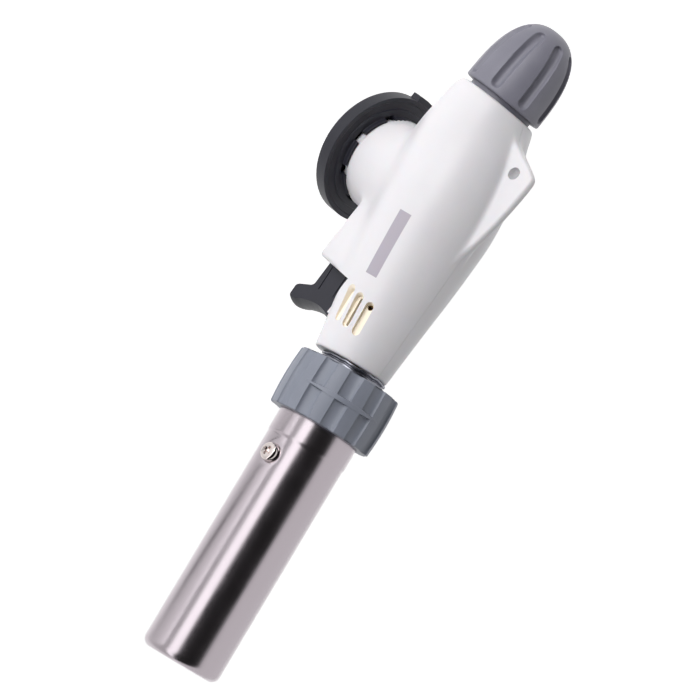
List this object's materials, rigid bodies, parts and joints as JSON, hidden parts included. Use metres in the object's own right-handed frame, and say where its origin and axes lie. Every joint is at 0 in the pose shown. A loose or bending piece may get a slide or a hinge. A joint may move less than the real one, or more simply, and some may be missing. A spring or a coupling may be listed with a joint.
{
  "type": "canister torch head",
  "caption": "Gas torch head for a bayonet valve canister, with a moulded body, flow knob, piezo trigger, air collar and straight burner tube.",
  "frame": {"origin": "canister axis at the plane where the ring seats on the canister's shoulder", "axes": "+Z along the canister's axis, away from the canister; +X towards the burner mouth; +Y to the side the shell screws are driven from"},
  "size_m": [0.2068, 0.04, 0.0838],
  "materials": {
    "shell_white": "moulded ABS, satin",
    "ring_black": "moulded nylon, fine texture",
    "knob_grey": "moulded ABS, satin",
    "collar_grey": "moulded nylon, satin",
    "stainless": "polished",
    "zinc_casting": "die cast, bright",
    "brass": "machined",
    "nickel_steel": "nickel plated",
    "ceramic": "glazed ceramic",
    "lead_cover": "silicone",
    "rubber": "moulded"
  },
  "bodies": {
    "torch": {"body_shell_near": "shell_white", "body_shell_far": "shell_white", "canister_ring": "ring_black", "burner_tube": "stainless", "mixing_tube": "stainless", "burner_manifold": "zinc_casting", "valve_body": "zinc_casting", "flame_holder": "brass", "jet_nozzle": "brass", "gas_tube": "brass", "gland_nut": "brass", "inlet_nipple": "brass", "spindle_o_ring": "rubber", "inlet_seal": "rubber", "bayonet_plate": "nickel_steel", "hub_screw_1": "nickel_steel", "hub_screw_2": "nickel_steel", "hub_screw_3": "nickel_steel", "shell_screw_1": "nickel_steel", "shell_screw_2": "nickel_steel", "shell_screw_3": "nickel_steel", "tube_screw_near": "nickel_steel", "tube_screw_far": "nickel_steel", "electrode_insulator": "ceramic", "spark_electrode": "stainless", "ignition_lead": "lead_cover", "piezo_case": "ring_black", "piezo_spring": "nickel_steel"},
    "knob": {"flow_knob": "knob_grey", "valve_spindle": "stainless"},
    "needle": {"valve_needle": "stainless"},
    "trigger_slider": {"trigger": "ring_black", "piezo_plunger": "shell_white"},
    "collar": {"air_collar": "collar_grey"}
  },
  "joints": [
    {"name": "knob_turn", "type": "hinge", "parent": "torch", "child": "knob", "pos_m": [-0.04, 0, 0.0268], "axis": [-1, 0, 0], "range_deg": [0, 270]},
    {"name": "needle_lift", "type": "slide", "parent": "torch", "child": "needle", "axis": [-1, 0, 0], "range_m": [0, 0.0008]},
    {"name": "trigger_pull", "type": "slide", "parent": "torch", "child": "trigger_slider", "axis": [-1, 0, 0], "range_m": [0, 0.006], "stiffness_N_per_m": 600, "springref_m": -0.004, "deforming": ["piezo_spring"]},
    {"name": "collar_turn", "type": "hinge", "parent": "torch", "child": "collar", "pos_m": [0.06182, 0, 0.04961], "axis": [0.9816, 0, 0.1908], "range_deg": [0, 60]}
  ],
  "couplings": [
    {"joint": "needle_lift", "follows": "knob_turn", "m_per_rad": 0.000169}
  ]
}
